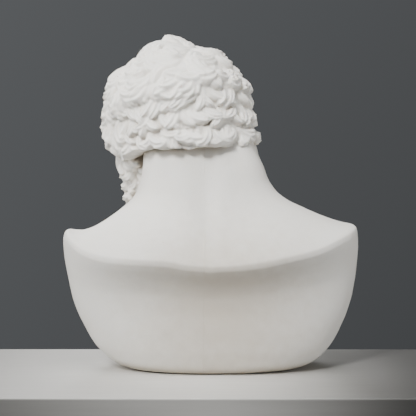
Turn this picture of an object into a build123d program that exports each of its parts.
from build123d import *
from math import cos, radians, sin
import os

# A hollow-cast stone bust of a bearded man. Shoulders, chest and neck are one casting and the head is a second
# one, set on the neck in mortar round a steel dowel; a screwed board with felt under it closes the base.
# Millimetres, +Z up. The chest faces -Y, and the head is bowed and turned to its own left, +X.

# --- driving dimensions -------------------------------------------------------------------------------------
WALL = 14.0  # thickness of the cast walls, measured level
FELT = 1.5  # felt sheet under the base
BOARD = 12.0  # plywood closing board, let into the base
SEAT = FELT + BOARD  # height of the ledge the board screws up to
RIM = 12.0  # width of the rim round the board
LEDGE = 16.0  # width of the ledge above it
LEDGE_DEPTH = 15.0
FIT = 0.5  # gap round the board
FELT_INSET = 4.0  # edge of the felt inside the edge of the casting
BLUNT = 2.5  # exponent of the closed outlines: 2 is an ellipse, more is squarer
OUTLINE_POINTS = 20

# Closed level outlines: height, then reach to the left (+X), right (-X), rear (+Y) and front (-Y).
BOWL = [
    (FELT, 101, 108, 61, 64),
    (7, 115, 121, 69, 73),
    (24, 135, 139, 74, 87),
    (50, 152, 155, 74, 97),
    (80, 164, 167, 74, 103),
    (104, 171, 172, 85, 103),
    (118, 174.5, 173.5, 93.5, 99),
    (130, 176, 174, 99, 91),
]
YOKE = [
    BOWL[-1],
    (150, 174, 174, 84, 74),
    (163, 164, 168, 76, 65),
    (174, 143, 150, 71, 60),
    (190, 112, 112, 66, 57),
    (210, 89, 80, 61, 55),
]
NECK = [
    YOKE[-1],
    (236, 81, 64, 54, 54),
    (272, 76, 45, 43, 58),
]
NECK_TOP = NECK[-1][0]
UPPER_WALL = 24.0  # level thickness of yoke and neck; the sloping shoulders come out thinner than this

# Head, in its own frame: origin half way up, between the ears; the same axes as the bust before it is turned.
HEAD_CENTRE = (36.0, -34.0, 272.0)
HEAD_BOW = 12.0  # degrees, chin down
HEAD_LEAN = 4.0  # degrees, crown to its own left
HEAD_TURN = 30.0  # degrees, to its own left
HEAD_WALL = 18.0
SKULL = (90.0, 99.0, 91.0)  # half width, half length and half height of the skull with its curls
SKULL_CENTRE = (0.0, 9.0, 30.0)
NOSE = (13.0, 24.0, 30.0)
NOSE_CENTRE = (0.0, -92.0, -14.0)
# Jaw and beard: height, half width, rear and front.
JAW = [
    (-113, 20, -66, -96),
    (-98, 38, -44, -104),
    (-75, 52, -10, -107),
    (-40, 64, 32, -102),
    (5, 72, 50, -97),
    (45, 58, 40, -80),
]

# Neck joint.
BED = 3.0  # mortar between the top of the neck and the head
BED_INSET = 3.0
SOCKET_GAP = 1.2  # head to neck and chest, away from the mortar
HEAD_FLOOR = 18.0  # solid floor of the head over the mortar
PLUG_RADIUS = 22.0  # hole through that floor, filled with mortar round the dowel
PLUG_HEIGHT = 26.0
PLUG_FOOT = 224.0  # lower face of the mortar in the neck
PLUG_GAP = 0.3
DOWEL_RADIUS = 8.0
DOWEL_FOOT = (9.0, 4.0, 196.0)
DOWEL_HEAD = (27.0, -34.0, 318.0)
DOWEL_CHAMFER = 1.5

# Base.
SCREW_RADIUS = 2.0
SCREW_HEAD_RADIUS = 4.2
SCREW_LENGTH = 22.0
INSERT_RADIUS = 4.0
INSERT_LENGTH = 11.0
CLEARANCE = 0.3  # screw to board
FIXING_ANGLES = (40.0, 140.0, 220.0, 320.0)
BALLAST = (64.0, 30.0)  # half width and half depth
BALLAST_HEIGHT = LEDGE_DEPTH
BALLAST_EDGE = 3.0


def power(value, exponent):
    """A power that keeps the sign of what it is taken of."""
    return abs(value) ** exponent * (1 if value > 0 else -1)


def outline_point(reaches, angle, inset=0.0):
    """A point of a level outline, whose quadrants are superellipses between the four reaches."""
    left, right, rear, front = [reach - inset for reach in reaches]
    across, along = cos(radians(angle)), sin(radians(angle))
    x = (left if across > 0 else right) * power(across, 2 / BLUNT)
    y = (rear if along > 0 else front) * power(along, 2 / BLUNT)
    return x, y


def level_outline(height, *reaches, inset=0.0):
    """A closed level outline, drawn in by an inset."""
    angles = [360 * step / OUTLINE_POINTS for step in range(OUTLINE_POINTS)]
    with BuildSketch(Plane.XY.offset(height)) as outline:
        with BuildLine():
            Spline(*[outline_point(reaches, angle, inset) for angle in angles], periodic=True)
        make_face()
    return outline.sketch


def slab(low, high, reaches, inset=0.0):
    """A level plate with one outline."""
    with BuildPart() as plate:
        add(level_outline(low, *reaches, inset=inset))
        extrude(amount=high - low)
    return plate.part


def lofted(rows, inset=0.0):
    """A solid through level outlines that are all drawn in by the same inset."""
    with BuildPart() as solid:
        loft(sections=[level_outline(*row, inset=inset).face() for row in rows])
    return solid.part


def drawn_in(row, inset):
    """A row of an outline table, drawn in by an inset."""
    return (row[0], *[reach - inset for reach in row[1:]])


def row_at(rows, height):
    """The row at a height, on the straight line between the rows below and above it."""
    for below, above in zip(rows, rows[1:]):
        if below[0] <= height <= above[0]:
            share = (height - below[0]) / (above[0] - below[0])
            return tuple(low + share * (high - low) for low, high in zip(below, above))
    raise ValueError(f"no outline at height {height}")


def dowel_point(height):
    """The point of the dowel's axis at a height."""
    share = (height - DOWEL_FOOT[2]) / (DOWEL_HEAD[2] - DOWEL_FOOT[2])
    return tuple(foot + share * (head - foot) for foot, head in zip(DOWEL_FOOT, DOWEL_HEAD))


def dowel_rod(radius):
    """The dowel, or the bore for it."""
    axis = Vector(*DOWEL_HEAD) - Vector(*DOWEL_FOOT)
    with BuildPart() as rod:
        with BuildSketch(Plane(origin=DOWEL_FOOT, z_dir=axis)):
            Circle(radius)
        extrude(amount=axis.length)
    return rod.part


def fixing_places(height):
    """The four screws, on the middle line of the ledge."""
    points = [outline_point(BOWL[0][1:], angle, RIM + LEDGE / 2) for angle in FIXING_ANGLES]
    return [(x, y, height) for x, y in points]


def make_torso():
    """Shoulders, chest, back and neck: open at the base and at the top of the neck."""
    opening = (SEAT + LEDGE_DEPTH, *[reach - RIM - LEDGE for reach in BOWL[0][1:]])
    walls = [drawn_in(row, WALL) for row in BOWL[3:-1]]
    with BuildPart() as torso:
        for rows in (BOWL, YOKE, NECK):
            add(lofted(rows))
        add(lofted([opening, *walls, drawn_in(BOWL[-1], UPPER_WALL)]), mode=Mode.SUBTRACT)
        for rows in (YOKE, NECK):
            add(lofted(rows, inset=UPPER_WALL), mode=Mode.SUBTRACT)
        add(slab(SEAT, SEAT + LEDGE_DEPTH, opening[1:]), mode=Mode.SUBTRACT)
        add(slab(FELT, SEAT, BOWL[0][1:], inset=RIM), mode=Mode.SUBTRACT)
        with Locations(*fixing_places(SEAT + INSERT_LENGTH / 2)):
            Cylinder(INSERT_RADIUS, INSERT_LENGTH, mode=Mode.SUBTRACT)
    return torso.part


def ellipsoid(half_axes, centre):
    """A unit ball stretched to three half axes."""
    with BuildPart() as ball:
        Sphere(1)
        scale(by=half_axes)
    return ball.part.moved(Location(centre))


def head_place():
    """Where the head's own frame stands in the bust: bowed, then leant, then turned."""
    bowed = Location((0, 0, 0), (HEAD_BOW, 0, 0))
    leant = Location((0, 0, 0), (0, HEAD_LEAN, 0))
    turned = Location(HEAD_CENTRE, (0, 0, HEAD_TURN))
    return turned * leant * bowed


def jaw_outline(height, half_width, rear, front):
    """A level ellipse of the jaw and beard in the head's own frame."""
    with BuildSketch(Plane.XY.offset(height)) as outline:
        with Locations((0, (rear + front) / 2)):
            Ellipse(half_width, (rear - front) / 2)
    return outline.sketch


def make_head():
    """Skull with its curls, jaw with its beard, and nose: hollow above a floor that rests on the neck."""
    top = NECK_TOP + BED
    with BuildPart() as shell:
        add(ellipsoid(SKULL, SKULL_CENTRE))
        loft(sections=[jaw_outline(*row).face() for row in JAW])
        add(ellipsoid(NOSE, NOSE_CENTRE))
    with BuildPart() as hollow:
        add(ellipsoid(tuple(axis - HEAD_WALL for axis in SKULL), SKULL_CENTRE).moved(head_place()))
        with Locations((*HEAD_CENTRE[:2], top + HEAD_FLOOR)):
            Box(400, 400, 400, align=(Align.CENTER, Align.CENTER, Align.MIN), mode=Mode.INTERSECT)
    with BuildPart() as head:
        add(shell.part.moved(head_place()))
        add(hollow.part, mode=Mode.SUBTRACT)
        for rows in (YOKE, NECK):
            add(lofted(rows, inset=-SOCKET_GAP), mode=Mode.SUBTRACT)
        add(slab(NECK_TOP, top, NECK[-1][1:], inset=-SOCKET_GAP), mode=Mode.SUBTRACT)
        with Locations(dowel_point(top)):
            Cylinder(PLUG_RADIUS, 2 * (HEAD_FLOOR + 1), mode=Mode.SUBTRACT)
    return head.part


def make_mortar():
    """The bed between neck and head."""
    with BuildPart() as mortar:
        add(slab(NECK_TOP, NECK_TOP + BED, NECK[-1][1:], inset=BED_INSET))
        add(dowel_rod(DOWEL_RADIUS + PLUG_GAP), mode=Mode.SUBTRACT)
    return mortar.part


def make_neck_plug():
    """Mortar poured round the dowel in the top of the neck."""
    with BuildPart() as plug:
        add(lofted([row_at(NECK, PLUG_FOOT), *NECK[1:]], inset=UPPER_WALL + 2 * PLUG_GAP))
        add(dowel_rod(DOWEL_RADIUS + PLUG_GAP), mode=Mode.SUBTRACT)
    return plug.part


def make_head_plug():
    """Mortar round the dowel in the floor of the head."""
    with BuildPart() as plug:
        with Locations(dowel_point(NECK_TOP + BED)):
            Cylinder(PLUG_RADIUS - PLUG_GAP, PLUG_HEIGHT, align=(Align.CENTER, Align.CENTER, Align.MIN))
        add(dowel_rod(DOWEL_RADIUS + PLUG_GAP), mode=Mode.SUBTRACT)
    return plug.part


def make_dowel():
    with BuildPart() as dowel:
        add(dowel_rod(DOWEL_RADIUS))
        chamfer(dowel.edges().filter_by(GeomType.CIRCLE), length=DOWEL_CHAMFER)
    return dowel.part


def make_board():
    """The closing board, countersunk from below."""
    with BuildPart() as board:
        add(slab(FELT, SEAT, BOWL[0][1:], inset=RIM + FIT))
        with Locations(*fixing_places(FELT + BOARD / 2)):
            Cylinder(SCREW_RADIUS + CLEARANCE, BOARD, mode=Mode.SUBTRACT)
        sink = SCREW_HEAD_RADIUS - SCREW_RADIUS
        with Locations(*fixing_places(FELT + sink / 2)):
            Cone(SCREW_HEAD_RADIUS + CLEARANCE, SCREW_RADIUS + CLEARANCE, sink, mode=Mode.SUBTRACT)
    return board.part


def make_screws():
    """Countersunk screws, heads down, flush with the board."""
    shape = [
        (0, FELT), (SCREW_HEAD_RADIUS, FELT), (SCREW_RADIUS, FELT + SCREW_HEAD_RADIUS - SCREW_RADIUS),
        (SCREW_RADIUS, FELT + SCREW_LENGTH - 1), (SCREW_RADIUS - 1, FELT + SCREW_LENGTH), (0, FELT + SCREW_LENGTH),
    ]
    with BuildPart() as screw:
        with BuildSketch(Plane.XZ):
            with BuildLine():
                Polyline(*shape, close=True)
            make_face()
        revolve(axis=Axis.Z)
    with BuildPart() as screws:
        with Locations(*fixing_places(0)):
            add(screw.part)
    return screws.part


def make_inserts():
    """Threaded brass inserts cast into the ledge, open at both ends."""
    with BuildPart() as inserts:
        with Locations(*fixing_places(SEAT + INSERT_LENGTH / 2)):
            Cylinder(INSERT_RADIUS, INSERT_LENGTH)
            Cylinder(SCREW_RADIUS, INSERT_LENGTH, mode=Mode.SUBTRACT)
    return inserts.part


def make_ballast():
    """A block glued to the board that keeps the bust from tipping."""
    half_width, half_depth = BALLAST
    with BuildPart() as ballast:
        add(slab(SEAT, SEAT + BALLAST_HEIGHT, (half_width, half_width, half_depth, half_depth)))
        fillet(ballast.faces().sort_by(Axis.Z)[-1].edges(), BALLAST_EDGE)
    return ballast.part


def make_felt():
    return slab(0, FELT, BOWL[0][1:], inset=FELT_INSET)


PIECES = {
    "torso_casting": make_torso,
    "head_casting": make_head,
    "neck_joint_mortar": make_mortar,
    "torso_dowel_plug": make_neck_plug,
    "head_dowel_plug": make_head_plug,
    "neck_dowel": make_dowel,
    "base_board": make_board,
    "base_inserts": make_inserts,
    "base_screws": make_screws,
    "ballast_block": make_ballast,
    "felt_base": make_felt,
}


def main():
    """Make every piece, put the middle of the whole box over the origin and write the STEP files."""
    pieces = {name: make() for name, make in PIECES.items()}
    boxes = [piece.bounding_box() for piece in pieces.values()]
    middle_x = (min(box.min.X for box in boxes) + max(box.max.X for box in boxes)) / 2
    middle_y = (min(box.min.Y for box in boxes) + max(box.max.Y for box in boxes)) / 2
    os.makedirs("parts", exist_ok=True)
    for name, piece in pieces.items():
        placed = piece.moved(Location((-middle_x, -middle_y, 0)))
        placed.label = name
        export_step(placed, f"parts/{name}.step")
        box = placed.bounding_box()
        print(name, len(placed.solids()), placed.is_valid, round(placed.volume), box.min, box.max)
    print("moved by", -middle_x, -middle_y)


if __name__ == "__main__":
    main()
